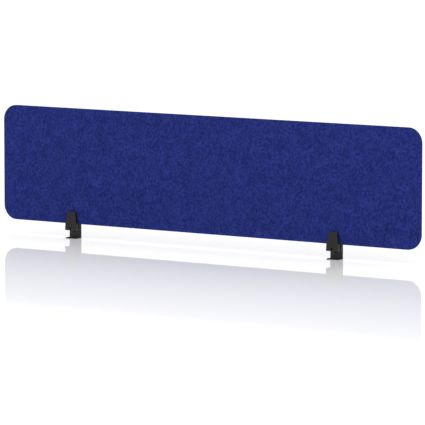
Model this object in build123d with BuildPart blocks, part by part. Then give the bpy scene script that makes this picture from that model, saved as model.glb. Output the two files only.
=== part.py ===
from build123d import *
import os

# Desk privacy panel: a felt board held on the edge of a desk by two slip-on clamps.
# Frame, in millimetres: +X along the board, +Y away from the person at the desk, +Z up.
# X = 0 is the middle of the board, Y = 0 is the board's mid-plane, Z = 0 is the underside
# of the clamps' lower brackets. "Front" is -Y and "rear" is +Y. A "reach" is a distance
# in front of the mid-plane, so it lies at Y = -reach. A name ending in _r is a radius.

# ---- gaps between neighbouring pieces ----------------------------------------------
close_gap = 0.01
seat_gap = 0.02
slide_gap = 0.05
loose_gap = 0.1
overshoot = 1.0  # how far a cutter starts outside the face it cuts

# ---- board -------------------------------------------------------------------------
panel_length = 1700.0
panel_height = 400.0
panel_thickness = 9.0
panel_corner_r = 52.0
panel_edge_r = 0.8
panel_bottom_z = 50.3

# ---- clamp positions along the board -----------------------------------------------
clamp_positions = {"left": -553.0, "right": 517.0}

# ---- clamp outline -----------------------------------------------------------------
clamp_width = 45.0
clamp_top_width = 30.0
clamp_back_y = 17.0
clamp_top_back_y = 10.0
taper_start_z = 56.0
clamp_top_z = 92.7
desk_top_z = 28.0
sole_bottom_z = 28.4
sole_top_z = 31.0
sole_overlap = 1.0  # how far the sole runs into the body
slit_half_width = 3.0
shoulder_z = panel_bottom_z - seat_gap
jaw_face_y = 4.9
spine_front_y = 8.0
corner_r = 2.0
crown_r = 1.9

# ---- front jaw ---------------------------------------------------------------------
jaw_base_reach = 20.0
jaw_taper_reach = 18.2
jaw_top_reach = 11.2
jaw_bottom_z = sole_top_z + slide_gap
jaw_slope = (jaw_base_reach - jaw_taper_reach) / (taper_start_z - jaw_bottom_z)
jaw_shoulder_reach = jaw_base_reach - jaw_slope * (shoulder_z - jaw_bottom_z)

# ---- rubber pads -------------------------------------------------------------------
jaw_pad_width = 26.0
jaw_pad_low_z = 55.0
jaw_pad_high_z = 88.0
jaw_pad_inner = panel_thickness / 2 + close_gap  # distances from the mid-plane
jaw_pad_outer = 5.5
jaw_pad_thickness = jaw_pad_outer - jaw_pad_inner - close_gap
body_pad_cut = 2.0
front_pad_cut_reach = 4.0
desk_pad_width = 38.0
desk_pad_depth = 21.0
desk_pad_y = -4.5
desk_pad_thickness = 1.4
desk_pad_corner_r = 2.0
lower_pad_width = 42.0
lower_pad_depth = 21.0
lower_pad_y = -4.0
lower_pad_thickness = 1.0
lower_pad_corner_r = 1.0

# ---- jaw screw, M4, with its washer, ring and nut ----------------------------------
jaw_screw_at = (0, 36.0)  # x from the clamp's middle, z
jaw_screw_r = 2.0
jaw_screw_tip_y = 9.8
jaw_screw_tip_chamfer = 0.4
jaw_head_r = 3.5
jaw_head_height = 4.0
jaw_head_chamfer = 0.35
jaw_head_front_y = -15.5
jaw_head_back_y = jaw_head_front_y + jaw_head_height
jaw_socket_flats = 3.0
jaw_socket_depth = 2.2
jaw_socket_cut = 4.0
jaw_counterbore_r = 3.6
jaw_counterbore_cut = 10.0
jaw_clearance_r = jaw_screw_r + 0.25
jaw_bore_depth = 14.0  # shared by the screw hole and the pin bores in the front jaw
jaw_washer_thickness = 0.5
jaw_washer_bore_r = jaw_screw_r + 0.15
jaw_washer_back_y = jaw_head_back_y + jaw_washer_thickness
jaw_nut_flats = 7.0
jaw_nut_thickness = 3.2
jaw_nut_front_y = 3.6
jaw_nut_back_y = jaw_nut_front_y + jaw_nut_thickness
jaw_nut_turn = 30
jaw_nut_pocket_lead = 2.0
jaw_passage_back_y = 10.5
jaw_passage_depth = 6.0
groove_r = 1.6
groove_outer_r = jaw_screw_r + 0.5
ring_r = 3.9
ring_front_y = -4.4
ring_thickness = 0.8
ring_back_y = ring_front_y + ring_thickness
ring_opening = 2.6
ring_pocket_r = ring_r + 0.15
ring_pocket_depth = 4.5

# ---- guide pins --------------------------------------------------------------------
guide_pin_r = 2.0
guide_pin_points = [(side * 13.0, 38.0) for side in (-1, 1)]
guide_pin_front_y = -13.0
guide_pin_back_y = 7.0
guide_pin_chamfer = 0.4
guide_seat_back_y = guide_pin_back_y + 0.2
guide_seat_depth = 6.0

# ---- desk bracket, folded steel ----------------------------------------------------
bracket_thickness = 2.0
bracket_front_y = -16.2
bracket_foot_back_y = spine_front_y - loose_gap
bracket_back_y = spine_front_y + bracket_thickness
bracket_leg_width = 37.8
bracket_leg_top_z = 44.0
bracket_slot_width = 6.4
bracket_slot_bottom_z = 20.0
bracket_slot_run_out = 4.0
foot_corner_r = 0.6
outer_bend_r = 1.8
inner_bend_r = 0.8
shortest_fold_edge = 30.0
edge_tolerance = 0.01
tab_low_z = 8.0
tab_width = 12.0
tab_front_y = 9.0
tab_back_y = 15.6

# ---- height screw, M3, and its nut -------------------------------------------------
height_screw_at = (0, 12.95)  # x from the clamp's middle, y
height_screw_r = 1.5
height_screw_top_z = 28.0
height_shank_low_z = tab_low_z - 0.1
height_chamfer = 0.3
height_head_r = 2.75
height_head_height = 3.0
height_socket_flats = 2.5
height_socket_low_z = tab_low_z - 2 - height_head_height
height_socket_cut = 3.5
height_nut_low_z = 24.0
height_nut_thickness = 2.4
height_nut_flats = 5.5
tab_hole_r = height_screw_r + 0.2

# ---- hollows in the spine ----------------------------------------------------------
channel_width = bracket_leg_width + 0.2
channel_low_z = -0.1
channel_high_z = 57.1
channel_front_y = spine_front_y - slide_gap
channel_back_y = bracket_back_y + loose_gap
cavity_front_y = 9.5
cavity_spans = (  # width, low z, high z
    (14.0, 3.0, 22.5),
    (6.0, 29.5, 43.0),
)
nut_pocket_width = 6.5
nut_pocket_front_y = 10.0
thread_passage_low_z = 20.0
thread_passage_height = 12.0
key_access_r = 2.2
key_access_top_z = 4.0

# ---- rear cover and its screws -----------------------------------------------------
cover_thickness = 1.2
cover_front_y = clamp_back_y - cover_thickness
cover_width = 34.0
cover_low_z = 3.0
cover_height = 49.0
cover_middle = (0, cover_low_z + cover_height / 2)
cover_corner_r = 3.0
cover_screw_points = [(side * 12.0, 36.0) for side in (-1, 1)]
cover_screw_r = 1.25
cover_hole_cut = 3.0
cover_screw_length = 4.6
cover_shank_back_y = clamp_back_y - 0.9
cover_head_r = 2.36
cover_head_height = 1.0
cover_head_taper = 45
cover_socket_flats = 1.5
cover_socket_back_y = clamp_back_y + 0.5
cover_socket_cut = 1.3
countersink_r = 2.4
countersink_depth = 1.1


def upright(x, y):
    """Plane whose local x is +X and local y is +Z, facing -Y, centred on x at depth y."""
    return Plane(origin=(x, y, 0), x_dir=(1, 0, 0), z_dir=(0, -1, 0))


def level(x, z):
    """Horizontal plane centred on x at height z."""
    return Plane(origin=(x, 0, z), x_dir=(1, 0, 0), z_dir=(0, 0, 1))


def strip(width, low, high, mode=Mode.ADD):
    """Rectangle centred across the open sketch, from low to high on its local y."""
    with Locations((0, (low + high) / 2)):
        Rectangle(width, high - low, mode=mode)


def hexagon(flats, rotation=0):
    """Hexagon in the open sketch, measured across its flats."""
    RegularPolygon(flats / 2, 6, major_radius=False, rotation=rotation)


def felt_panel():
    with BuildPart() as panel:
        with BuildSketch(upright(0, panel_thickness / 2)):
            with Locations((0, panel_bottom_z + panel_height / 2)):
                RectangleRounded(panel_length, panel_height, panel_corner_r)
        extrude(amount=panel_thickness)
        faces = panel.faces().sort_by(Axis.Y)
        fillet(faces[0].edges() + faces[-1].edges(), radius=panel_edge_r)
    return panel.part


def clamp_body(clamp_x):
    """Sole that stands on the desk, rear jaw behind the board, and the spine that runs
    down behind the desk's edge. A slit separates the body from the front jaw."""
    with BuildPart() as body:
        # spine, middle and the upright part of the rear jaw, with rounded rear corners
        for low, high, front in (
            (0, sole_bottom_z, spine_front_y),
            (sole_bottom_z, shoulder_z, slit_half_width),
            (shoulder_z, taper_start_z, jaw_face_y),
        ):
            with BuildSketch(level(clamp_x, low)) as section:
                strip(clamp_width, front, clamp_back_y)
                fillet(section.vertices().group_by(Axis.Y)[-1], radius=corner_r)
            extrude(amount=high - low)

        # tapered upper part of the rear jaw
        for z, back, width in (
            (taper_start_z, clamp_back_y, clamp_width),
            (clamp_top_z, clamp_top_back_y, clamp_top_width),
        ):
            with BuildSketch(level(clamp_x, z)) as section:
                strip(width, jaw_face_y, back)
                fillet(section.vertices().group_by(Axis.Y)[-1], radius=corner_r)
        loft(ruled=True)
        # every edge of the top face but the front one
        crown = body.faces().sort_by(Axis.Z)[-1]
        fillet(crown.edges().sort_by(Axis.Y)[1:], radius=crown_r)

        # sole, with rounded front corners
        with BuildSketch(level(clamp_x, sole_bottom_z)) as section:
            strip(clamp_width, -jaw_base_reach, slit_half_width + sole_overlap)
            fillet(section.vertices().group_by(Axis.Y)[0], radius=corner_r)
        extrude(amount=sole_top_z - sole_bottom_z)

        # channel for the bracket's leg, down the front of the spine and up into the body
        with BuildSketch(upright(clamp_x, channel_back_y)):
            strip(channel_width, channel_low_z, channel_high_z)
        extrude(amount=channel_back_y - channel_front_y, mode=Mode.SUBTRACT)

        # cavities round the height screw and above it, open to the rear
        with BuildSketch(upright(clamp_x, clamp_back_y)):
            for width, low, high in cavity_spans:
                strip(width, low, high)
        extrude(amount=clamp_back_y - cavity_front_y, mode=Mode.SUBTRACT)

        # pocket for the height nut
        with BuildSketch(level(clamp_x, height_nut_low_z)):
            strip(nut_pocket_width, nut_pocket_front_y, clamp_back_y)
        extrude(amount=height_nut_thickness + slide_gap, mode=Mode.SUBTRACT)

        # passage for the height screw's thread, and the key's access hole below
        for low, radius, height in (
            (thread_passage_low_z, height_screw_r + slide_gap, thread_passage_height),
            (-overshoot, key_access_r, key_access_top_z + overshoot),
        ):
            with BuildSketch(level(clamp_x, low)):
                with Locations(height_screw_at):
                    Circle(radius)
            extrude(amount=height, mode=Mode.SUBTRACT)

        # recess for the rear cover
        with BuildSketch(upright(clamp_x, clamp_back_y + overshoot)):
            with Locations(cover_middle):
                RectangleRounded(cover_width, cover_height, cover_corner_r)
        extrude(amount=overshoot + cover_thickness, mode=Mode.SUBTRACT)

        # holes for the cover screws
        with BuildSketch(upright(clamp_x, cover_front_y)):
            with Locations(*cover_screw_points):
                Circle(cover_screw_r + close_gap)
        extrude(amount=cover_screw_length, mode=Mode.SUBTRACT)

        # hexagonal pocket for the jaw nut, open to the slit, and the screw's way through
        with BuildSketch(upright(clamp_x, jaw_nut_back_y)):
            with Locations(jaw_screw_at):
                hexagon(jaw_nut_flats + 2 * slide_gap, jaw_nut_turn)
        extrude(amount=jaw_nut_thickness + jaw_nut_pocket_lead, mode=Mode.SUBTRACT)
        with BuildSketch(upright(clamp_x, jaw_passage_back_y)):
            with Locations(jaw_screw_at):
                Circle(jaw_screw_r + loose_gap)
        extrude(amount=jaw_passage_depth, mode=Mode.SUBTRACT)

        # seats of the two guide pins
        with BuildSketch(upright(clamp_x, guide_seat_back_y)):
            with Locations(*guide_pin_points):
                Circle(guide_pin_r + close_gap)
        extrude(amount=guide_seat_depth, mode=Mode.SUBTRACT)

        # recess for the jaw pad
        with BuildSketch(upright(clamp_x, jaw_pad_outer)):
            strip(jaw_pad_width, jaw_pad_low_z, jaw_pad_high_z)
        extrude(amount=body_pad_cut, mode=Mode.SUBTRACT)

        # recess for the pad under the sole
        recess_low_z = sole_bottom_z - overshoot
        with BuildSketch(level(clamp_x, recess_low_z)):
            with Locations((0, desk_pad_y)):
                RectangleRounded(desk_pad_width, desk_pad_depth, desk_pad_corner_r)
        extrude(amount=desk_top_z + desk_pad_thickness - recess_low_z, mode=Mode.SUBTRACT)
    return body.part


def front_jaw(clamp_x):
    """Wedge that slides on the sole and grips the board. Its front face leans back
    slightly from the base, and more above the height where its sides draw in."""
    stations = (  # z, reach of the front face, width
        (jaw_bottom_z, jaw_base_reach, clamp_width),
        (shoulder_z, jaw_shoulder_reach, clamp_width),
        (taper_start_z, jaw_taper_reach, clamp_width),
        (clamp_top_z, jaw_top_reach, clamp_top_width),
    )
    back_reaches = (slit_half_width, jaw_face_y, jaw_face_y)  # one for each loft
    with BuildPart() as jaw:
        for lower, upper, back_reach in zip(stations, stations[1:], back_reaches):
            for z, front_reach, width in (lower, upper):
                with BuildSketch(level(clamp_x, z)) as section:
                    strip(width, -front_reach, -back_reach)
                    fillet(section.vertices().group_by(Axis.Y)[0], radius=corner_r)
            loft(ruled=True)
        # every edge of the top face but the rear one
        crown = jaw.faces().sort_by(Axis.Z)[-1]
        fillet(crown.edges().sort_by(Axis.Y)[:-1], radius=crown_r)

        # counterbore, clearance hole and, in the inner face, the retaining ring's pocket
        for back, radius, depth in (
            (jaw_washer_back_y, jaw_counterbore_r, jaw_counterbore_cut),
            (0, jaw_clearance_r, jaw_bore_depth),
            (0, ring_pocket_r, ring_pocket_depth),
        ):
            with BuildSketch(upright(clamp_x, back)):
                with Locations(jaw_screw_at):
                    Circle(radius)
            extrude(amount=depth, mode=Mode.SUBTRACT)

        # sliding bores on the guide pins
        with BuildSketch(upright(clamp_x, 0)):
            with Locations(*guide_pin_points):
                Circle(guide_pin_r + slide_gap)
        extrude(amount=jaw_bore_depth, mode=Mode.SUBTRACT)

        # recess for the jaw pad
        with BuildSketch(upright(clamp_x, -front_pad_cut_reach)):
            strip(jaw_pad_width, jaw_pad_low_z, jaw_pad_high_z)
        extrude(amount=jaw_pad_outer - front_pad_cut_reach, mode=Mode.SUBTRACT)
    return jaw.part


def jaw_pad(clamp_x, back_y):
    """Rubber pad that grips one face of the board."""
    with BuildPart() as pad:
        with BuildSketch(upright(clamp_x, back_y)):
            strip(
                jaw_pad_width - 2 * slide_gap,
                jaw_pad_low_z + slide_gap,
                jaw_pad_high_z - slide_gap,
            )
        extrude(amount=jaw_pad_thickness)
    return pad.part


def front_jaw_pad(clamp_x):
    return jaw_pad(clamp_x, -jaw_pad_inner)


def rear_jaw_pad(clamp_x):
    return jaw_pad(clamp_x, jaw_pad_outer - close_gap)


def desk_pad(clamp_x):
    """Pad under the sole, which rests on the desk's upper face."""
    with BuildPart() as pad:
        with BuildSketch(level(clamp_x, desk_top_z)):
            with Locations((0, desk_pad_y)):
                RectangleRounded(
                    desk_pad_width - loose_gap, desk_pad_depth - loose_gap, desk_pad_corner_r
                )
        extrude(amount=desk_pad_thickness - close_gap)
    return pad.part


def jaw_screw(clamp_x):
    """Socket-head screw that draws the front jaw in, with a groove for its ring."""
    with BuildPart() as screw:
        with BuildSketch(upright(clamp_x, jaw_head_back_y)):
            with Locations(jaw_screw_at):
                Circle(jaw_head_r)
        extrude(amount=jaw_head_height)
        rims = screw.edges().filter_by(GeomType.CIRCLE).sort_by(Axis.Y)
        chamfer(rims[0], length=jaw_head_chamfer)
        # hexagonal socket
        with BuildSketch(upright(clamp_x, jaw_head_front_y + jaw_socket_depth)):
            with Locations(jaw_screw_at):
                hexagon(jaw_socket_flats)
        extrude(amount=jaw_socket_cut, mode=Mode.SUBTRACT)
        # shank
        with BuildSketch(upright(clamp_x, jaw_screw_tip_y)):
            with Locations(jaw_screw_at):
                Circle(jaw_screw_r)
        extrude(amount=jaw_screw_tip_y - jaw_head_back_y)
        rims = screw.edges().filter_by(GeomType.CIRCLE).sort_by(Axis.Y)
        chamfer(rims[-1], length=jaw_screw_tip_chamfer)
        # groove
        with BuildSketch(upright(clamp_x, ring_back_y + slide_gap)):
            with Locations(jaw_screw_at):
                Circle(groove_outer_r)
                Circle(groove_r, mode=Mode.SUBTRACT)
        extrude(amount=ring_thickness + 2 * slide_gap, mode=Mode.SUBTRACT)
    return screw.part


def jaw_washer(clamp_x):
    with BuildPart() as washer:
        with BuildSketch(upright(clamp_x, jaw_washer_back_y - close_gap)):
            with Locations(jaw_screw_at):
                Circle(jaw_counterbore_r - loose_gap)
                Circle(jaw_washer_bore_r, mode=Mode.SUBTRACT)
        extrude(amount=jaw_washer_thickness - 2 * close_gap)
    return washer.part


def jaw_screw_ring(clamp_x):
    """Retaining ring, open at the bottom and snapped into the screw's groove, so that
    the screw carries the jaw outwards as it is undone."""
    screw_z = jaw_screw_at[1]
    with BuildPart() as ring:
        with BuildSketch(upright(clamp_x, ring_back_y)):
            with Locations(jaw_screw_at):
                Circle(ring_r)
                Circle(groove_r + close_gap, mode=Mode.SUBTRACT)
            strip(ring_opening, screw_z - 2 * ring_r, screw_z, mode=Mode.SUBTRACT)
        extrude(amount=ring_thickness)
    return ring.part


def jaw_nut(clamp_x):
    with BuildPart() as nut:
        with BuildSketch(upright(clamp_x, jaw_nut_back_y - close_gap)):
            with Locations(jaw_screw_at):
                hexagon(jaw_nut_flats, jaw_nut_turn)
                Circle(jaw_screw_r + slide_gap, mode=Mode.SUBTRACT)
        extrude(amount=jaw_nut_thickness - close_gap)
    return nut.part


def guide_pins(clamp_x):
    """Two steel pins pressed into the body, on which the front jaw slides."""
    with BuildPart() as pins:
        with BuildSketch(upright(clamp_x, guide_pin_back_y)):
            with Locations(*guide_pin_points):
                Circle(guide_pin_r)
        extrude(amount=guide_pin_back_y - guide_pin_front_y)
        front_rims = pins.edges().filter_by(GeomType.CIRCLE).group_by(Axis.Y)[0]
        chamfer(front_rims, length=guide_pin_chamfer)
    return pins.part


def desk_bracket(clamp_x):
    """One folded steel plate. Its foot goes under the desk, its forked leg slides in the
    spine's channel, and its rear tab carries the height screw."""
    foot_half = clamp_width / 2
    leg_half = bracket_leg_width / 2
    with BuildPart() as bracket:
        # foot, with a tongue at the rear as wide as the leg
        with BuildSketch(level(clamp_x, 0)):
            with BuildLine():
                Polyline(
                    (-foot_half, bracket_front_y),
                    (foot_half, bracket_front_y),
                    (foot_half, bracket_foot_back_y),
                    (leg_half, bracket_foot_back_y),
                    (leg_half, bracket_back_y),
                    (-leg_half, bracket_back_y),
                    (-leg_half, bracket_foot_back_y),
                    (-foot_half, bracket_foot_back_y),
                    (-foot_half, bracket_front_y),
                )
            make_face()
        extrude(amount=bracket_thickness)
        front_corners = bracket.edges().filter_by(Axis.Z).group_by(Axis.Y)[0]
        fillet(front_corners, radius=foot_corner_r)

        # leg, with a slot open at the top
        with BuildSketch(upright(clamp_x, bracket_back_y)):
            strip(bracket_leg_width, 0, bracket_leg_top_z)
            strip(
                bracket_slot_width,
                bracket_slot_bottom_z,
                bracket_leg_top_z + bracket_slot_run_out,
                mode=Mode.SUBTRACT,
            )
        extrude(amount=bracket_thickness)

        # outer and inner radius of the fold between foot and leg
        for y, z, radius in (
            (bracket_back_y, 0, outer_bend_r),
            (spine_front_y, bracket_thickness, inner_bend_r),
        ):
            fold_edges = [
                edge
                for edge in bracket.edges().filter_by(Axis.X)
                if abs(edge.center().Y - y) < edge_tolerance
                and abs(edge.center().Z - z) < edge_tolerance
                and edge.length > shortest_fold_edge
            ]
            fillet(fold_edges, radius=radius)

        # tab and its screw hole
        with BuildSketch(level(clamp_x, tab_low_z)):
            strip(tab_width, tab_front_y, tab_back_y)
        extrude(amount=bracket_thickness)
        with BuildSketch(level(clamp_x, tab_low_z - overshoot)):
            with Locations(height_screw_at):
                Circle(tab_hole_r)
        extrude(amount=bracket_thickness + 2 * overshoot, mode=Mode.SUBTRACT)
    return bracket.part


def lower_pad(clamp_x):
    """Pad on the upper face of the bracket's foot."""
    with BuildPart() as pad:
        with BuildSketch(level(clamp_x, bracket_thickness)):
            with Locations((0, lower_pad_y)):
                RectangleRounded(lower_pad_width, lower_pad_depth, lower_pad_corner_r)
        extrude(amount=lower_pad_thickness)
    return pad.part


def height_screw(clamp_x):
    """Its head bears under the bracket's tab and its thread climbs the nut."""
    with BuildPart() as screw:
        with BuildSketch(level(clamp_x, tab_low_z - seat_gap - height_head_height)):
            with Locations(height_screw_at):
                Circle(height_head_r)
        extrude(amount=height_head_height)
        rims = screw.edges().filter_by(GeomType.CIRCLE).sort_by(Axis.Z)
        chamfer(rims[0], length=height_chamfer)
        # hexagonal socket
        with BuildSketch(level(clamp_x, height_socket_low_z)):
            with Locations(height_screw_at):
                hexagon(height_socket_flats)
        extrude(amount=height_socket_cut, mode=Mode.SUBTRACT)
        # shank, started just inside the head
        with BuildSketch(level(clamp_x, height_shank_low_z)):
            with Locations(height_screw_at):
                Circle(height_screw_r)
        extrude(amount=height_screw_top_z - height_shank_low_z)
        rims = screw.edges().filter_by(GeomType.CIRCLE).sort_by(Axis.Z)
        chamfer(rims[-1], length=height_chamfer)
    return screw.part


def height_nut(clamp_x):
    with BuildPart() as nut:
        with BuildSketch(level(clamp_x, height_nut_low_z + seat_gap)):
            with Locations(height_screw_at):
                hexagon(height_nut_flats)
                Circle(height_screw_r + slide_gap, mode=Mode.SUBTRACT)
        extrude(amount=height_nut_thickness)
    return nut.part


def rear_cover(clamp_x):
    """Plate over the spine's cavities, with two countersunk holes."""
    with BuildPart() as cover:
        with BuildSketch(upright(clamp_x, clamp_back_y)):
            with Locations(cover_middle):
                RectangleRounded(
                    cover_width - 2 * loose_gap,
                    cover_height - 2 * loose_gap,
                    cover_corner_r - loose_gap,
                )
        extrude(amount=cover_thickness - close_gap)
        with BuildSketch(upright(clamp_x, clamp_back_y + close_gap)):
            with Locations(*cover_screw_points):
                Circle(countersink_r)
        extrude(amount=countersink_depth, taper=cover_head_taper, mode=Mode.SUBTRACT)
        with BuildSketch(upright(clamp_x, clamp_back_y)):
            with Locations(*cover_screw_points):
                Circle(cover_screw_r + slide_gap)
        extrude(amount=cover_hole_cut, mode=Mode.SUBTRACT)
    return cover.part


def cover_screws(clamp_x):
    """The two countersunk screws of the rear cover."""
    with BuildPart() as screws:
        with BuildSketch(upright(clamp_x, clamp_back_y)):
            with Locations(*cover_screw_points):
                Circle(cover_head_r)
        extrude(amount=cover_head_height, taper=cover_head_taper)
        # shanks
        with BuildSketch(upright(clamp_x, cover_shank_back_y)):
            with Locations(*cover_screw_points):
                Circle(cover_screw_r)
        extrude(amount=cover_screw_length)
        # hexagonal sockets
        with BuildSketch(upright(clamp_x, cover_socket_back_y)):
            with Locations(*cover_screw_points):
                hexagon(cover_socket_flats)
        extrude(amount=cover_socket_cut, mode=Mode.SUBTRACT)
    return screws.part


def save(part, name):
    part.label = name
    export_step(part, f"parts/{name}.step")


# Each of these builds one piece of a clamp, and its name is the piece's name.
clamp_pieces = (
    clamp_body,
    front_jaw,
    front_jaw_pad,
    rear_jaw_pad,
    desk_pad,
    jaw_screw,
    jaw_washer,
    jaw_screw_ring,
    jaw_nut,
    guide_pins,
    desk_bracket,
    lower_pad,
    height_screw,
    height_nut,
    rear_cover,
    cover_screws,
)

os.makedirs("parts", exist_ok=True)
save(felt_panel(), "felt_panel")
for side, clamp_x in clamp_positions.items():
    for build_piece in clamp_pieces:
        save(build_piece(clamp_x), f"{side}_{build_piece.__name__}")
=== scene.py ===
"""A navy felt board held along its lower edge by two black desk clamps, left and right.

The board's length runs along X and its thickness along Y, with the front towards -Y; Z is up.
Shapes are worked out in millimetres and stored in metres.
"""
import math
from collections import namedtuple

import bmesh
import bpy
import numpy as np
from mathutils import Matrix, Vector


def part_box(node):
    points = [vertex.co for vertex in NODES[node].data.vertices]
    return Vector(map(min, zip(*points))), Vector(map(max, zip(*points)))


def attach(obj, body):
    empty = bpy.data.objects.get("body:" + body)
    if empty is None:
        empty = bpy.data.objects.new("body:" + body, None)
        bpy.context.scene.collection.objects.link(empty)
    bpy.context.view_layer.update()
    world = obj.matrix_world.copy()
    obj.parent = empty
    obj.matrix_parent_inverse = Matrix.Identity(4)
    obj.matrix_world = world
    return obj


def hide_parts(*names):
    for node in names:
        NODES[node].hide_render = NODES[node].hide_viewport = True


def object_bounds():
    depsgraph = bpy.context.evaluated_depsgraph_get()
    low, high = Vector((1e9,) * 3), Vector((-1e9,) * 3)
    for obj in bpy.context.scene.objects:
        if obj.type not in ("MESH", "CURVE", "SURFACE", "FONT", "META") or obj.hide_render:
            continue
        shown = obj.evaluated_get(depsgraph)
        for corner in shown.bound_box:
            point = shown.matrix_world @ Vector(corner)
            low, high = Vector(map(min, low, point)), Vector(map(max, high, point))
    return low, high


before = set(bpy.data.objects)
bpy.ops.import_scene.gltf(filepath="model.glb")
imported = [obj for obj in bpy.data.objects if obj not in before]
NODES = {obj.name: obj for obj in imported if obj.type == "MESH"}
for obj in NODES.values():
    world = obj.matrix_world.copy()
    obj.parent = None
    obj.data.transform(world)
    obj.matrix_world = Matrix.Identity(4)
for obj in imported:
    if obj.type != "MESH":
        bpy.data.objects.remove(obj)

CAD_LO, CAD_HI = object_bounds()
MM = 0.001
SIDES = ("left", "right")


# ======================================================================================
# node-graph helper
# ======================================================================================
class Graph:
    """Short calls for building a material's nodes."""

    def __init__(self, name):
        self.mat = bpy.data.materials.new(name)
        self.mat.use_nodes = True
        self.tree = self.mat.node_tree
        self.tree.nodes.clear()
        self.out = self.tree.nodes.new("ShaderNodeOutputMaterial")

    def add(self, kind, inputs=None, **properties):
        """New node. Inputs are keyed by name or index; each is a value or a socket to link."""
        node = self.tree.nodes.new("ShaderNode" + kind)
        for name, value in properties.items():
            setattr(node, name, value)
        for key, value in (inputs or {}).items():
            socket = node.inputs[key]
            if isinstance(value, bpy.types.NodeSocket):
                self.tree.links.new(value, socket)
            elif socket.type == "RGBA" and len(value) == 3:
                socket.default_value = (*value, 1)
            else:
                socket.default_value = value
        return node

    def surface(self, shader):
        self.tree.links.new(shader.outputs[0], self.out.inputs["Surface"])
        return self.mat

    def principled(self, **values):
        """Close the graph with a principled shader and return the material."""
        inputs = {name.replace("_", " "): value for name, value in values.items()}
        return self.surface(self.add("BsdfPrincipled", inputs))

    def coords(self, scale=(1, 1, 1), rotation=(0, 0, 0), location=(0, 0, 0)):
        source = self.add("TexCoord").outputs["Object"]
        inputs = {"Scale": scale, "Rotation": rotation, "Location": location, "Vector": source}
        return self.add("Mapping", inputs).outputs["Vector"]

    def noise(self, vector, scale, detail=2.0, rough=0.5, distortion=0.0, out="Fac"):
        inputs = {"Scale": scale, "Detail": detail, "Roughness": rough,
                  "Distortion": distortion, "Vector": vector}
        return self.add("TexNoise", inputs).outputs[out]

    def strands(self, angle, scale, stretch, offset, sharp, warp):
        """Thin curling filaments that run at an angle to +Z in the XZ plane: the contour
        lines of a noise drawn out along them, bent by a slower noise."""
        turned = self.coords(
            rotation=(0, angle, 0), location=(offset, offset * 0.37, offset * 0.61))
        bend = self.noise(turned, scale=210.0, detail=1.0, out="Color")
        bent = self.add(
            "VectorMath", {0: bend, 1: (warp * 2,) * 3, 2: turned}, operation="MULTIPLY_ADD")
        drawn = self.add(
            "Mapping", {"Scale": (1, 1, stretch), "Vector": bent.outputs["Vector"]})
        value = self.noise(drawn.outputs["Vector"], scale, detail=1.0, rough=0.45)
        ridge = self.math("ABSOLUTE", self.math("SUBTRACT", value, 0.5))
        return self.scale(ridge, gain=-sharp, base=1.0, clamp=True)

    def math(self, operation, a, b=0.0, c=None, clamp=False):
        inputs = {0: a, 1: b}
        if c is not None:
            inputs[2] = c
        return self.add("Math", inputs, operation=operation, use_clamp=clamp).outputs[0]

    def scale(self, value, gain, base=None, clamp=False):
        """value * gain, plus base if there is one."""
        operation = "MULTIPLY" if base is None else "MULTIPLY_ADD"
        return self.math(operation, value, gain, base, clamp)

    def spread(self, value, gain, middle, clamp=True):
        """Stretch a noise about its mean of 0.5, and move the mean to middle."""
        return self.scale(self.math("SUBTRACT", value, 0.5), gain, middle, clamp)

    def ramp(self, value, stops):
        """Grey ramp; a stop is (position, level)."""
        node = self.add("ValToRGB")
        elements = node.color_ramp.elements
        while len(elements) < len(stops):
            elements.new(0.5)
        for element, (position, level) in zip(elements, stops):
            element.position = position
            element.color = (level, level, level, 1)
        self.tree.links.new(value, node.inputs["Fac"])
        return node.outputs["Color"]

    def mix(self, under, over, share, strength=None, blend="MIX"):
        """Lay one colour over another, by share times strength."""
        if strength is not None:
            share = self.scale(share, strength)
        # 0, 6 and 7 are the factor and the two colours
        inputs = {0: share, 6: under, 7: over}
        return self.add("Mix", inputs, data_type="RGBA", blend_type=blend).outputs[2]

    def bump(self, height, strength, distance):
        inputs = {"Strength": strength, "Distance": distance, "Height": height}
        return self.add("Bump", inputs).outputs["Normal"]

    def dot(self, a, b):
        return self.add("VectorMath", {0: a, 1: b}, operation="DOT_PRODUCT").outputs["Value"]

    def edges(self, radius):
        """0 on flat faces, rising to 1 within radius of an edge."""
        bevel = self.add("Bevel", {"Radius": radius}, samples=6)
        geometry = self.add("NewGeometry")
        cosine = self.dot(bevel.outputs["Normal"], geometry.outputs["Normal"])
        return self.scale(self.math("SUBTRACT", 1.0, cosine), gain=9.0, clamp=True)


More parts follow.
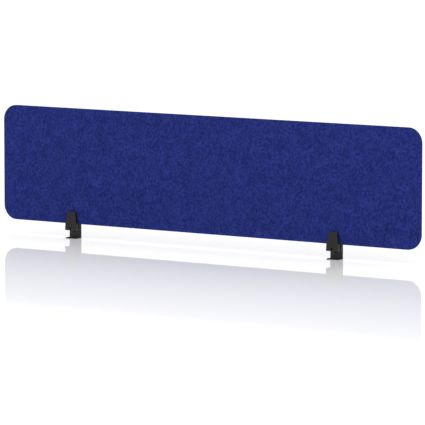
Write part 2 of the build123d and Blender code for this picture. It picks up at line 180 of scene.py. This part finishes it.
# ======================================================================================
# materials
# ======================================================================================
def felt_material():
    """Pressed navy polyester felt: blue fibres of two shades tangled together, mottled at
    the scale of a few millimetres, slightly drawn out vertically, with broad soft clouds."""
    dark, light = (0.0026, 0.0098, 0.114), (0.0286, 0.0410, 0.214)
    clump_blue = (0.0215, 0.0342, 0.210)
    cloud_blue = (0.0112, 0.0206, 0.124)
    gap_blue = (0.0060, 0.0125, 0.098)
    pale_blue = (0.042, 0.058, 0.275)
    # angle from +Z in radians, noise scale, offset into the noise
    coarse_strands = ((0.35, 1150.0, 0.0), (1.25, 1050.0, 3.1), (-0.80, 1200.0, 7.7))
    fine_strands = ((-0.15, 2300.0, 11.3), (1.80, 2150.0, 17.9))

    g = Graph("felt_navy")
    mottle = g.noise(g.coords((1.0, 1.0, 0.76)), scale=165.0, detail=2.0, rough=0.55)
    clumps = g.noise(g.coords((1.0, 1.0, 0.6)), scale=52.0, detail=1.5, distortion=0.4)
    cloud = g.noise(g.coords((1, 1, 0.8)), scale=24.0, detail=2.5, rough=0.6)

    # the tangle: filaments in several directions, coarse ones lying over fine ones
    first, second, third = (
        g.strands(angle, scale, stretch=0.09, offset=offset, sharp=26.0, warp=0.0016)
        for angle, scale, offset in coarse_strands
    )
    coarse = g.math("MAXIMUM", first, g.math("MAXIMUM", second, third))
    first, second = (
        g.strands(angle, scale, stretch=0.12, offset=offset, sharp=15.0, warp=0.0009)
        for angle, scale, offset in fine_strands
    )
    fine = g.math("MAXIMUM", first, second)
    fibre = g.math("MAXIMUM", coarse, g.scale(fine, gain=0.6))
    shade = g.noise(g.coords(), scale=420.0, detail=1.0)

    # two shades mixed by the mottle, then clumps and clouds
    colour = g.mix(dark, light, g.spread(mottle, gain=5.4, middle=0.5))
    colour = g.mix(colour, clump_blue, g.spread(clumps, gain=1.8, middle=0.5), strength=0.42)
    colour = g.mix(colour, cloud_blue, g.spread(cloud, gain=2.0, middle=0.5), strength=0.40)
    # gaps between the filaments are darker, and some filaments are paler than others
    gap = g.math("SUBTRACT", 1.0, fibre, clamp=True)
    colour = g.mix(colour, gap_blue, gap, strength=0.55)
    pale = g.math("MULTIPLY", coarse, g.ramp(shade, [(0.46, 0), (0.60, 1)]))
    colour = g.mix(colour, pale_blue, pale, strength=0.42)
    # the web is laid unevenly, so the shade drifts over a few centimetres
    drift = g.noise(g.coords((1.0, 1.0, 1.1), rotation=(0, 0.35, 0)),
                    scale=24.0, detail=3.0, rough=0.60, distortion=0.4)
    drift = g.spread(drift, gain=0.80, middle=0.99, clamp=False)
    colour = g.mix(colour, drift, share=1.0, blend="MULTIPLY")

    height = g.math(
        "ADD",
        g.scale(fibre, gain=0.30),
        g.math("ADD", g.scale(mottle, gain=0.6), g.scale(clumps, gain=0.5)),
    )
    return g.principled(
        Base_Color=colour,
        Normal=g.bump(height, strength=0.55, distance=0.0009),
        Roughness=g.scale(fibre, gain=0.12, base=0.84),
        Specular_IOR_Level=0.05,
        Sheen_Weight=0.05,
        Sheen_Roughness=0.55,
        Sheen_Tint=(0.30, 0.38, 0.85),
    )


def plastic_material():
    """Moulded black nylon: fine spark-eroded grain, faint flow marks, slightly polished
    by wear along the edges, which are painted paler as an edge highlight."""
    dark, light, highlight_and_wear_grey = (0.0052, 0.0052, 0.0054), (0.0092, 0.0092, 0.0094), (0.034, 0.036, 0.038)
    g = Graph("clamp_black_plastic")
    vector = g.coords()
    grain = g.noise(vector, scale=2600.0, rough=0.6)
    speck = g.noise(vector, scale=900.0, detail=3.0, rough=0.55)
    flow = g.noise(g.coords((1.0, 1.0, 0.25)),
                   scale=120.0, detail=3.0, rough=0.55, distortion=0.6)
    # edge mask: a painted edge highlight in the colour, and wear polish in the roughness
    edge_highlight_and_wear = g.math("MULTIPLY", g.edges(radius=0.0026), g.scale(speck, gain=0.9, base=0.1))
    colour = g.mix(dark, light, flow, strength=0.6)
    # paler edges: painted edge highlight
    colour = g.mix(colour, highlight_and_wear_grey, edge_highlight_and_wear, strength=0.50)
    rough = g.scale(flow, gain=0.16, base=0.36)
    rough = g.scale(speck, gain=0.08, base=rough)
    rough = g.scale(edge_highlight_and_wear, gain=-0.10, base=rough)
    height = g.scale(grain, gain=0.6, base=g.scale(speck, gain=0.5))
    return g.principled(
        Base_Color=colour,
        Roughness=rough,
        Normal=g.bump(height, strength=0.20, distance=0.00012),
        Specular_IOR_Level=0.31,
    )


def powder_coat_material():
    """Fine-textured black powder coat on folded steel, painted paler at the folds: edge highlight
    and slight wear.
    """
    dark, light, highlight_and_wear_grey = (0.0060, 0.0060, 0.0062), (0.0105, 0.0105, 0.0108), (0.06, 0.06, 0.062)
    g = Graph("bracket_powder_coat")
    vector = g.coords()
    peel = g.noise(vector, scale=1100.0)
    speck = g.noise(vector, scale=3200.0, detail=1.0)
    scuff = g.noise(g.coords((0.3, 1, 1)), scale=320.0, detail=4.0, rough=0.6, distortion=0.8)
    # paler folds: painted edge highlight and slight wear, broken up by scuffs
    edge_highlight_and_wear = g.math("MULTIPLY", g.edges(radius=0.0007), scuff)
    colour = g.mix(g.mix(dark, light, peel), highlight_and_wear_grey, edge_highlight_and_wear, strength=0.5)
    height = g.scale(peel, gain=1.0, base=g.scale(speck, gain=0.4))
    return g.principled(
        Base_Color=colour,
        Roughness=g.scale(peel, gain=0.14, base=0.44),
        Normal=g.bump(height, strength=0.35, distance=0.0002),
        Specular_IOR_Level=0.40,
    )


def rubber_material():
    """Matt black rubber, faintly dusty."""
    clean, dusty = (0.008, 0.008, 0.008), (0.020, 0.020, 0.019)
    g = Graph("pad_rubber")
    vector = g.coords()
    fine = g.noise(vector, scale=1500.0, detail=3.0, rough=0.6)
    dust = g.noise(vector, scale=240.0, detail=4.0, rough=0.6)
    return g.principled(
        Base_Color=g.mix(clean, dusty, dust, strength=0.5),
        Roughness=g.scale(dust, gain=0.15, base=0.72),
        Normal=g.bump(fine, strength=0.3, distance=0.00015),
        Specular_IOR_Level=0.30,
    )


def oxide_steel_material():
    """Black-oxide screw steel: dark, patchy, with bright edges painted as wear and edge highlight.
    """
    dark, light, bright = (0.008, 0.008, 0.009), (0.017, 0.0165, 0.0165), (0.10, 0.097, 0.094)
    g = Graph("screw_black_oxide")
    vector = g.coords()
    fine = g.noise(vector, scale=1800.0, detail=3.0, rough=0.6)
    patch = g.noise(vector, scale=420.0, detail=3.0, rough=0.6)
    # bright edges: painted edge highlight and wear
    edge = g.edges(radius=0.00016)
    return g.principled(
        Base_Color=g.mix(g.mix(dark, light, patch), bright, edge, strength=0.40),
        Metallic=0.85,
        Roughness=g.scale(patch, gain=0.2, base=0.30),
        Normal=g.bump(fine, strength=0.12, distance=0.0001),
    )


def zinc_material():
    """Bright zinc plate with faint spangle and a slightly yellow-blue passivation."""
    bluish, yellowish = (0.50, 0.52, 0.56), (0.60, 0.59, 0.54)
    g = Graph("zinc_plate")
    vector = g.coords()
    spangle = g.add("TexVoronoi", {"Scale": 900.0, "Vector": vector}).outputs["Color"]
    fine = g.noise(vector, scale=1600.0, detail=3.0, rough=0.6)
    tint = g.noise(vector, scale=260.0)
    colour = g.mix(bluish, yellowish, tint)
    return g.principled(
        Base_Color=g.mix(colour, spangle, share=0.12, blend="OVERLAY"),
        Metallic=1.0,
        Roughness=g.scale(fine, gain=0.18, base=0.26),
        Normal=g.bump(fine, strength=0.08, distance=0.0001),
    )


MATERIALS = {
    "felt": felt_material(),
    "clamp_plastic": plastic_material(),
    "bracket_steel": powder_coat_material(),
    "pad_rubber": rubber_material(),
    "screw_steel": oxide_steel_material(),
    "zinc_steel": zinc_material(),
}


# ======================================================================================
# mesh helpers
# ======================================================================================
def add_mesh(name, points, faces, material, body):
    """Smooth mesh object from points in millimetres; its slot has the material's key."""
    mesh = bpy.data.meshes.new(name)
    mesh.from_pydata((points * MM).tolist(), [], faces)
    mesh.validate()
    mesh.update()
    ob = bpy.data.objects.new(name, mesh)
    bpy.context.scene.collection.objects.link(ob)
    mesh.materials.append(MATERIALS[material])
    mesh.polygons.foreach_set("use_smooth", [True] * len(mesh.polygons))
    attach(ob, body)
    return ob


def finish_piece(name, parts, material, body, node):
    """Join (points, faces) parts into one hard-edged object that replaces a CAD node."""
    points, faces = [], []
    for part_points, part_faces in parts:
        base = len(points)
        points += part_points
        faces += [tuple(i + base for i in face) for face in part_faces]
    ob = add_mesh(name, np.array(points), faces, material, body)
    bm = bmesh.new()
    bm.from_mesh(ob.data)
    bmesh.ops.recalc_face_normals(bm, faces=bm.faces)
    bm.to_mesh(ob.data)
    bm.free()
    ob.data.set_sharp_from_angle(angle=math.radians(38))
    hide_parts(node)


def band(loop, following):
    """Quads between two closed loops of vertex indices."""
    count = len(loop)
    return [
        (loop[k], loop[(k + 1) % count], following[(k + 1) % count], following[k])
        for k in range(count)
    ]


def value_noise(points, scale, seed):
    """Smooth value noise of 3-D points (an N x 3 array), in about -1 to 1."""
    scaled = points * scale
    cell = np.floor(scaled).astype(np.int64)
    part = scaled - cell
    part = part * part * part * (part * (part * 6 - 15) + 10)
    total = 0
    for corner in np.ndindex(2, 2, 2):
        weight, h = 1, seed * 2654435761
        for axis, prime in enumerate((73856093, 19349663, 83492791)):
            weight = weight * (part[:, axis] if corner[axis] else 1 - part[:, axis])
            h = h ^ (cell[:, axis] + corner[axis]) * prime
        h = h & 0xFFFFFFFF
        h = (h ^ (h >> 15)) * 2246822519 & 0xFFFFFFFF
        h = (h ^ (h >> 13)) * 3266489917 & 0xFFFFFFFF
        h = h ^ (h >> 16)
        total = total + weight * (h.astype(np.float64) / 0xFFFFFFFF * 2 - 1)
    return total


# ======================================================================================
# slabs with rounded corners: a grid in (u, v) on both faces, w through the thickness
# ======================================================================================
# rim: grid indices round the outline; out_u, out_v: its outward unit directions
Grid = namedtuple("Grid", "u v rim out_u out_v")


def rounded_grid(halves, radius, steps, corner_counts):
    """Grid over a rectangle whose square corner patches are bent onto quarter discs."""
    axes = []
    for half, step, corner_count in zip(halves, steps, corner_counts):
        straight = half - radius
        count = max(4, int(round(2 * straight / step)))
        axes.append(np.concatenate([
            np.linspace(-half, -straight, corner_count, endpoint=False),
            np.linspace(-straight, straight, count, endpoint=False),
            np.linspace(straight, half, corner_count + 1),
        ]))
    u, v = np.meshgrid(*axes, indexing="ij")
    straight_u, straight_v = halves[0] - radius, halves[1] - radius
    into_u = np.clip((np.abs(u) - straight_u) / radius, 0, 1)
    into_v = np.clip((np.abs(v) - straight_v) / radius, 0, 1)
    both = (into_u > 0) & (into_v > 0)
    bent_u = straight_u + radius * into_u * np.sqrt(1 - into_v * into_v / 2)
    bent_v = straight_v + radius * into_v * np.sqrt(1 - into_u * into_u / 2)
    u = np.where(both, np.sign(u) * bent_u, u)
    v = np.where(both, np.sign(v) * bent_v, v)

    index = np.arange(u.size).reshape(u.shape)
    rim = np.concatenate([index[:-1, 0], index[-1, :-1], index[:0:-1, -1], index[0, :0:-1]])
    rim_u, rim_v = u.ravel()[rim], v.ravel()[rim]
    out_u = rim_u - np.clip(rim_u, -straight_u, straight_u)
    out_v = rim_v - np.clip(rim_v, -straight_v, straight_v)
    length = np.hypot(out_u, out_v)
    return Grid(u, v, rim, out_u / length, out_v / length)


def slab(grid, levels, profile):
    """Two sheets at the given w levels, then rim rings of (outward offset, w). Returns the
    (u, v, w) points, the faces of the sheets, and the loops that the sides run through."""
    rows, columns = grid.u.shape
    size, count = grid.u.size, len(grid.rim)
    rim_u, rim_v = grid.u.ravel()[grid.rim], grid.v.ravel()[grid.rim]
    points = [
        np.stack([grid.u, grid.v, np.broadcast_to(level, grid.u.shape)], 2).reshape(-1, 3)
        for level in levels
    ]
    points += [
        np.stack([rim_u + grid.out_u * out, rim_v + grid.out_v * out, np.full(count, w)], 1)
        for out, w in profile
    ]
    faces = []
    for base, order in ((0, 1), (size, -1)):
        for i in range(rows - 1):
            for j in range(columns - 1):
                a = base + i * columns + j
                b = a + columns
                faces.append((a, b, b + 1, a + 1)[::order])
    loops = [grid.rim.tolist()]
    for k in range(len(profile)):
        start = 2 * size + k * count
        loops.append(list(range(start, start + count)))
    loops.append((grid.rim + size).tolist())
    return np.concatenate(points), faces, loops


# ======================================================================================
# the felt board
# ======================================================================================
FELT_CORNER = 52.0      # radius of the board's outline
FELT_SOFT = 1.1         # radius where the faces turn into the cut edge
FELT_STEP = 3.3
FELT_ARC = (22, 45, 68, 90)     # degrees round the soft edge, from face to side
# height of the relief, squeeze along Z, size of its lumps, seed:
# slow waves, two sizes of fibre clump, and fine nap
FELT_RELIEF = (
    (0.10, 0.80, 46.0, 3),
    (0.10, 0.70, 13.0, 5),
    (0.09, 0.75, 6.0, 7),
    (0.05, 1.00, 3.6, 11),
)
FACE_SINK, EDGE_RISE = 0.30, 0.17   # faces held under nominal, the cut edge less so
EDGE_CALM = 0.75        # share of the relief taken off the cut edge
LAYER_RIDGE = 0.07      # height of the layers seen in the cut edge


def build_felt():
    lo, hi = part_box("felt_panel")
    half_thick = (hi.y - lo.y) / 2 / MM
    halves = [(hi[axis] - lo[axis]) / 2 / MM - FELT_SOFT for axis in (0, 2)]
    radius = FELT_CORNER - FELT_SOFT
    corner_count = int(round(radius / FELT_STEP))
    grid = rounded_grid(halves, radius, (FELT_STEP,) * 2, (corner_count,) * 2)

    # outward offset, y, outward and y parts of the normal, from the front to the back
    flat = half_thick - FELT_SOFT

    def arc(side, degrees):
        for angle in map(math.radians, degrees):
            out, through = math.sin(angle), math.cos(angle)
            yield (FELT_SOFT * out, side * (flat + FELT_SOFT * through), out, side * through)

    profile = [
        *arc(-1, FELT_ARC),
        *((FELT_SOFT, y, 1.0, 0.0) for y in np.linspace(-flat, flat, 5)[1:-1]),
        *arc(1, FELT_ARC[::-1]),
    ]
    points, faces, loops = slab(
        grid, (-half_thick, half_thick), [(out, y) for out, y, _, _ in profile])
    for loop, following in zip(loops, loops[1:]):
        # wound so that the sides face outwards
        faces += [(a, d, c, b) for a, b, c, d in band(loop, following)]
    points = points[:, (0, 2, 1)]
    normals = np.concatenate(
        [np.tile((0.0, y, 0.0), (grid.u.size, 1)) for y in (-1, 1)]
        + [
            np.stack([grid.out_u * out, np.full(len(grid.rim), y), grid.out_v * out], 1)
            for _, _, out, y in profile
        ]
    )

    relief = sum(
        height * value_noise(points * (1, 1, squeeze), 1 / size, seed)
        for height, squeeze, size, seed in FELT_RELIEF
    )
    on_edge = 1 - np.abs(normals[:, 1])
    # the cut edge shows the felt's layers as faint ridges along the board
    layers = value_noise(points * (0.12, 2.2, 0.12), 1.0, 13)
    # the board is die-cut: its faces are soft and uneven, its outline crisp and true
    relief = relief * (1 - EDGE_CALM * on_edge) + LAYER_RIDGE * on_edge * layers
    points = points + normals * (relief - FACE_SINK + EDGE_RISE * on_edge)[:, None]
    points[:, 0] += (lo.x + hi.x) / 2 / MM
    points[:, 2] += (lo.z + hi.z) / 2 / MM
    ob = add_mesh("felt_board", points, faces, "felt", "panel")
    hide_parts("felt_panel")


build_felt()


# ======================================================================================
# turned and threaded hardware
# ======================================================================================
Thread = namedtuple("Thread", "major depth pitch")    # major is the crest radius
JAW_THREAD = Thread(major=1.985, depth=0.40, pitch=0.7)
HEIGHT_THREAD = Thread(major=1.485, depth=0.29, pitch=0.5)
COVER_THREAD = Thread(major=1.24, depth=0.26, pitch=0.8)
RINGS_PER_PITCH = 8

SEG = 48                # points round a screw
NUT_SEG = 72
WASHER_SEG = 64
SCREW_Z = 36.0          # height of the jaw screws and the cover screws
HEIGHT_SCREW_Y = 12.95  # place of the upright screws
COVER_SCREW_X = 12.0    # cover screws, either side of the clamp's middle


def skin(rows, axis, centre, seg, closed=False):
    """Vertices and faces of rings about an axis. A row is (height, radius), in millimetres
    and each either a number or an array over the angle. The ends close on the axis, or,
    when closed, the last ring joins the first, as on a nut."""
    angle = np.linspace(0, 2 * math.pi, seg, endpoint=False)
    points = []
    for height, radius in rows:
        h = np.broadcast_to(height, angle.shape)
        if axis == "y":
            ring = (centre[0] + radius * np.sin(angle), h, centre[1] + radius * np.cos(angle))
        else:
            ring = (centre[0] + radius * np.cos(angle), centre[1] + radius * np.sin(angle), h)
        points.extend(np.stack(ring, 1).tolist())
    loops = [range(k * seg, (k + 1) * seg) for k in range(len(rows))]
    faces = []
    for loop, following in zip(loops, loops[1:] + (loops[:1] if closed else [])):
        faces += band(loop, following)
    if not closed:
        for end in (0, -1):
            tip, h = len(points), float(np.mean(rows[end][0]))
            points.append([centre[0], h, centre[1]] if axis == "y" else [*centre, h])
            loop = loops[end]
            faces += [(loop[k], loop[(k + 1) % seg], tip) for k in range(seg)]
    return points, faces


def hexagon(apothem, seg=SEG, turn=0.0):
    """Radius round a hexagon, given half its width across the flats."""
    angle = np.linspace(0, 2 * math.pi, seg, endpoint=False) + turn
    return apothem / np.cos(np.mod(angle, math.pi / 3) - math.pi / 6)


def thread_radius(thread, height, depth_share=1.0, clearance=0.0, seg=SEG):
    """Radius round one ring of a right-handed 60-degree thread."""
    angle = np.linspace(0, 2 * math.pi, seg, endpoint=False)
    phase = np.mod(height / thread.pitch - angle / (2 * math.pi), 1.0)
    slope = np.clip((np.abs(phase - 0.5) * 2 - 0.125) / 0.75, 0, 1)
    return thread.major + clearance - thread.depth * depth_share * slope


def shaft(thread, start, end, run_in, chamfer_from, groove=None):
    """Rows of a thread that deepens over run_in and is chamfered at its tip. A groove is
    (low, high, radius)."""
    rows, height = [], start
    while height < end:
        if groove and groove[0] < height < groove[1]:
            rows.append((height, groove[2]))
        else:
            share = min(1.0, max(0.0, (height - start) / run_in))
            # chamfered from outside, so the roots stay clear of the nut's crests
            crest = thread.major - max(0.0, height - chamfer_from) * 0.85
            rows.append((height, np.minimum(thread_radius(thread, height, share), crest)))
        height += thread.pitch / RINGS_PER_PITCH
    return rows


def jaw_screw(side, centre_x):
    """Socket-head screw along Y, its head to the front."""
    socket = hexagon(1.5, turn=math.pi / 6)
    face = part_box(f"{side}_jaw_screw")[0][1] / MM
    # depth behind the head's face, radius
    head = (
        (2.45, 0.25), (2.2, socket * 0.97), (0.25, socket), (0.0, socket + 0.18),
        (0.0, 3.02), (0.04, 3.18), (0.14, 3.32), (0.34, 3.46), (0.5, 3.5),
        (3.8, 3.5), (3.95, 3.44), (4.0, 3.34), (4.0, 2.2), (4.1, 2.02),
    )
    rows = [(face + depth, radius) for depth, radius in head]
    rows += shaft(JAW_THREAD, start=face + 4.2, end=9.74, run_in=0.9, chamfer_from=9.2,
                  groove=(-4.46, -3.54, 1.6))
    rows += [(9.8, 1.38)]
    finish_piece(f"{side}_jaw_screw_threaded", [skin(rows, "y", (centre_x, SCREW_Z), SEG)],
                 "screw_steel", f"{side}_jaw_drive", f"{side}_jaw_screw")


def height_screw(side, centre_x):
    """Upright socket-head screw, its head at the bottom."""
    socket = hexagon(1.25)
    # z, radius
    rows = [
        (6.75, 0.2), (6.5, socket * 0.97), (5.2, socket), (4.98, socket + 0.15),
        (4.98, 2.42), (5.03, 2.56), (5.14, 2.68), (5.3, 2.75),
        (7.85, 2.75), (7.95, 2.70), (7.98, 2.62), (7.98, 1.62), (8.06, 1.5),
    ]
    rows += shaft(HEIGHT_THREAD, start=8.15, end=27.94, run_in=0.7, chamfer_from=27.55)
    rows += [(28.0, 1.05)]
    finish_piece(f"{side}_height_screw_threaded",
                 [skin(rows, "z", (centre_x, HEIGHT_SCREW_Y), SEG)],
                 "screw_steel", f"{side}_height_drive", f"{side}_height_screw")


def washer(side, centre_x):
    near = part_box(f"{side}_jaw_washer")[0][1] / MM
    # depth behind the front face, radius
    ring = (
        (0.0, 2.22), (0.0, 3.40), (0.05, 3.48), (0.14, 3.5), (0.34, 3.5),
        (0.43, 3.48), (0.48, 3.40), (0.48, 2.22), (0.43, 2.15), (0.05, 2.15),
    )
    rows = [(near + depth, radius) for depth, radius in ring]
    finish_piece(f"{side}_jaw_washer_ring",
                 [skin(rows, "y", (centre_x, SCREW_Z), WASHER_SEG, closed=True)],
                 "zinc_steel", f"{side}_jaw", f"{side}_jaw_washer")


def cover_screws(side, centre_x):
    """Two countersunk screws along Y, their heads to the back."""
    socket = hexagon(0.75, turn=math.pi / 6)
    # y, radius
    rows = [
        (16.0, 0.12), (16.2, socket * 0.96), (16.92, socket), (17.0, socket + 0.07),
        (17.0, 2.26), (16.96, 2.34), (16.88, 2.30), (16.02, 1.42), (15.9, 1.25),
    ]
    start = y = 15.8
    while y > 12.0:
        # the thread deepens below the head and fades towards the tip
        share = min(1.0, (start - y) / 0.6 + 0.01, (y - 11.6) / 1.2)
        rows.append((y, thread_radius(COVER_THREAD, y, share)))
        y -= COVER_THREAD.pitch / RINGS_PER_PITCH
    rows += [(11.8, 0.9), (11.5, 0.45)]
    parts = [
        skin(rows, "y", (centre_x + offset, SCREW_Z), SEG)
        for offset in (-COVER_SCREW_X, COVER_SCREW_X)
    ]
    finish_piece(f"{side}_cover_screw_pair", parts, "screw_steel",
                 f"{side}_clamp", f"{side}_cover_screws")


def nut(side, kind, axis, centre, low, high, apothem, thread):
    """Hexagon nut: corners cut by a cone at both faces, and a bore whose thread follows
    the screw's with a small clearance."""
    lead = 0.25     # plain length at each end of the bore
    count = int((high - low - 2 * lead) / (thread.pitch / RINGS_PER_PITCH))
    bore = [
        (h, thread_radius(thread, h, clearance=0.11, seg=NUT_SEG))
        for h in np.linspace(low + lead, high - lead, count)
    ]
    rows = [(low, thread.major + 0.12), *bore, (high, thread.major + 0.12)]
    corner = hexagon(apothem, NUT_SEG)
    insets = (0.0, 0.18, 0.4, 0.62)
    for h in [high - inset for inset in insets] + [low + inset for inset in insets[::-1]]:
        rise = min(high - h, h - low)
        rows.append((h, np.minimum(corner, apothem * 0.955 + rise * 1.73)))
    node = f"{side}_{kind}_nut"
    finish_piece(f"{node}_threaded", [skin(rows, axis, centre, NUT_SEG, closed=True)],
                 "zinc_steel", f"{side}_clamp", node)


# ======================================================================================
# ribbed rubber pads
# ======================================================================================
PAD_SOFT = 0.22         # radius of the pad's edges
PAD_BORDER = 1.0        # flat border round the ribs
PAD_BLEND = 0.6         # width over which the ribs rise from the border
# pad, body, axis across the ribs, axis and sign the ribs face, rib pitch, groove depth,
# corner radius; the ribs run along X
PADS = (
    ("desk_pad", "clamp", 1, 2, -1, 1.6, 0.32, 1.8),
    ("lower_pad", "bracket", 1, 2, 1, 1.6, 0.32, 0.9),
    ("front_jaw_pad", "jaw", 2, 1, 1, 1.8, 0.28, 0.8),
    ("rear_jaw_pad", "clamp", 2, 1, -1, 1.8, 0.28, 0.8),
)


def ribbed_pad(side, pad, body, across, out, sign, pitch, depth, corner):
    """Moulded rubber pad: a flat border round a field of parallel rounded ribs."""
    node = f"{side}_{pad}"
    lo, hi = (np.array(end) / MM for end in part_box(node))
    middle, half = (lo + hi) / 2, (hi - lo) / 2
    halves = (half[0] - PAD_SOFT, half[across] - PAD_SOFT)
    grid = rounded_grid(halves, corner, steps=(1.3, pitch / 9), corner_counts=(5, 6))
    inside = np.minimum(
        (halves[0] - np.abs(grid.u)) - PAD_BORDER, (halves[1] - np.abs(grid.v)) - PAD_BORDER)
    field = np.clip(inside / PAD_BLEND, 0, 1)
    wave = np.abs(np.sin(math.pi * grid.v / pitch)) ** 0.55
    drop = depth * (1 - wave) * field

    thick = half[out]
    profile = []
    for top, degrees in ((1, (30, 60, 90)), (-1, (90, 60, 30))):
        for angle in map(math.radians, degrees):
            w = top * (thick - PAD_SOFT + PAD_SOFT * math.cos(angle))
            profile.append((PAD_SOFT * math.sin(angle), w))
    local, faces, loops = slab(grid, (thick - drop, -thick), profile)
    for loop, following in zip(loops, loops[1:]):
        faces += band(loop, following)
    points = np.zeros_like(local)
    points[:, 0] = middle[0] + local[:, 0]
    points[:, across] = middle[across] + local[:, 1]
    points[:, out] = middle[out] + sign * local[:, 2]
    finish_piece(f"{node}_ribbed", [(points.tolist(), faces)],
                 "pad_rubber", f"{side}_{body}", node)


for side in SIDES:
    clamp_lo, clamp_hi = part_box(f"{side}_clamp_body")
    centre_x = (clamp_lo.x + clamp_hi.x) / 2 / MM
    jaw_screw(side, centre_x)
    height_screw(side, centre_x)
    washer(side, centre_x)
    cover_screws(side, centre_x)
    nut(side, "jaw", "y", (centre_x, SCREW_Z),
        low=3.60, high=6.79, apothem=3.495, thread=JAW_THREAD)
    nut(side, "height", "z", (centre_x, HEIGHT_SCREW_Y),
        low=24.02, high=26.42, apothem=2.75, thread=HEIGHT_THREAD)
    for pad in PADS:
        ribbed_pad(side, *pad)


# ======================================================================================
# CAD nodes that stay: moulded shells, bracket, small hardware
# ======================================================================================
# node: material, bevel width
KEPT = {
    "clamp_body": ("clamp_plastic", 0.35),
    "front_jaw": ("clamp_plastic", 0.45),
    "rear_cover": ("clamp_plastic", 0.15),
    "desk_bracket": ("bracket_steel", 0.25),
    "jaw_screw_ring": ("screw_steel", 0.05),
    "guide_pins": ("zinc_steel", 0.05),
}


def dress(node, material, bevel):
    ob = NODES[node]
    ob.data.materials.clear()
    ob.data.materials.append(MATERIALS[material])
    modifier = ob.modifiers.new("soft_edges", "BEVEL")
    modifier.width = bevel * MM
    modifier.segments = 2
    modifier.limit_method = "ANGLE"
    modifier.angle_limit = math.radians(35)
    modifier.harden_normals = False
    modifier.use_clamp_overlap = True


for side in SIDES:
    for node, (material, bevel) in KEPT.items():
        dress(f"{side}_{node}", material, bevel)


# ======================================================================================
# stage: floor, light, camera (metres)
# ======================================================================================
FLOOR_HALF = 60.0
FLOOR_GAP = 0.0002      # below the lowest point of the product
GLOSS_REACH = 2.6       # distance from the X axis at which the ramp below ends
# share of the reach, share of gloss
GLOSS_FADE = (
    (0.0, 0.50), (0.17, 0.43), (0.24, 0.395), (0.30, 0.365), (0.36, 0.335),
    (0.42, 0.31), (0.48, 0.285), (0.54, 0.25), (0.62, 0.15), (0.73, 0.0),
)
# cosine of the look to the floor's normal, factor on the gloss
GLOSS_GLANCE = ((0.0, 1), (0.15, 1), (0.27, 0.50), (0.45, 0.16), (1.0, 0.04))


def floor_material():
    """White floor with a gloss that fades to the front and the back."""
    g = Graph("floor_gloss_white")
    place = g.add("SeparateXYZ", {0: g.add("TexCoord").outputs["Object"]})
    away = g.math("ABSOLUTE", place.outputs["Y"])
    share = g.ramp(g.math("DIVIDE", away, GLOSS_REACH), GLOSS_FADE)
    # polished only at a glancing look, as a lacquered sweep is
    geometry = g.add("NewGeometry")
    tilt = g.dot(geometry.outputs["Normal"], geometry.outputs["Incoming"])
    share = g.math("MULTIPLY", share, g.ramp(g.math("ABSOLUTE", tilt), GLOSS_GLANCE))
    diffuse = g.add("BsdfDiffuse", {"Color": (0.96, 0.96, 0.962)})
    gloss = g.add("BsdfGlossy", {"Color": (1, 1, 1), "Roughness": 0.035})
    # a little light of its own keeps the sweep clean white to the edge of the picture
    glow = g.add("Emission", {"Strength": 0.10})
    lit = g.add("AddShader", {0: diffuse.outputs[0], 1: glow.outputs[0]})
    return g.surface(g.add("MixShader", {0: share, 1: lit.outputs[0], 2: gloss.outputs[0]}))


def build_floor():
    mesh = bpy.data.meshes.new("floor")
    z = CAD_LO.z - FLOOR_GAP
    corners = [(x * FLOOR_HALF, y * FLOOR_HALF, z) for x, y in ((-1, -1), (1, -1), (1, 1), (-1, 1))]
    mesh.from_pydata(corners, [], [(0, 1, 2, 3)])
    ob = bpy.data.objects.new("floor", mesh)
    bpy.context.scene.collection.objects.link(ob)
    mesh.materials.append(floor_material())


def build_world():
    world = bpy.data.worlds.new("studio")
    bpy.context.scene.world = world
    world.use_nodes = True
    background = world.node_tree.nodes["Background"]
    background.inputs["Color"].default_value = (1.0, 1.0, 1.0, 1)
    background.inputs["Strength"].default_value = 1.0


def softbox(name, place, size, power, target=(0, 0, 0.2)):
    light = bpy.data.lights.new(name, "AREA")
    light.shape = "RECTANGLE"
    light.size, light.size_y = size
    light.energy = power
    ob = bpy.data.objects.new(name, light)
    bpy.context.scene.collection.objects.link(ob)
    ob.location = place
    ob.rotation_mode = "QUATERNION"
    ob.rotation_quaternion = (Vector(target) - Vector(place)).to_track_quat("-Z", "Y")
    ob.visible_camera = False


# the view is 34.5 degrees round from square-on, towards +X, and 6 degrees up
LENS = 320.71934        # focal length on a sensor 36 mm wide
VIEW_AXES = np.array([
    [0.825518293, 0.564375316, 0.000224549],        # right
    [0.0615572155, -0.0896449380, -0.994069663],    # down
    [-0.561008250, 0.820636514, -0.108744909],      # forward
])
VIEW_ORIGIN = np.array([-26.2498, 72.6469, 12767.6246])  # view's origin point, on its axes, mm
VIEW_SHIFT = np.array([0.0, -4.5, 50.3])    # that point's place in the scene, mm


def build_camera():
    data = bpy.data.cameras.new("camera")
    camera = bpy.data.objects.new("camera", data)
    bpy.context.scene.collection.objects.link(camera)
    data.sensor_width = 36.0
    data.lens = LENS
    data.clip_start, data.clip_end = 0.5, 200.0
    place = -VIEW_AXES.T @ VIEW_ORIGIN + VIEW_SHIFT
    right, down, forward = VIEW_AXES
    turn = Matrix(np.stack([right, -down, -forward], 1).tolist()).to_4x4()
    camera.matrix_world = Matrix.Translation(Vector(place * MM)) @ turn
    bpy.context.scene.camera = camera


build_floor()
build_world()
softbox("key", place=(2.6, -3.0, 3.4), size=(3.0, 2.0), power=28)
softbox("top", place=(0.0, 0.3, 4.2), size=(4.0, 2.5), power=30)
build_camera()

view = bpy.context.scene.view_settings
view.view_transform = "Standard"
view.look = "None"
view.exposure = 0.0
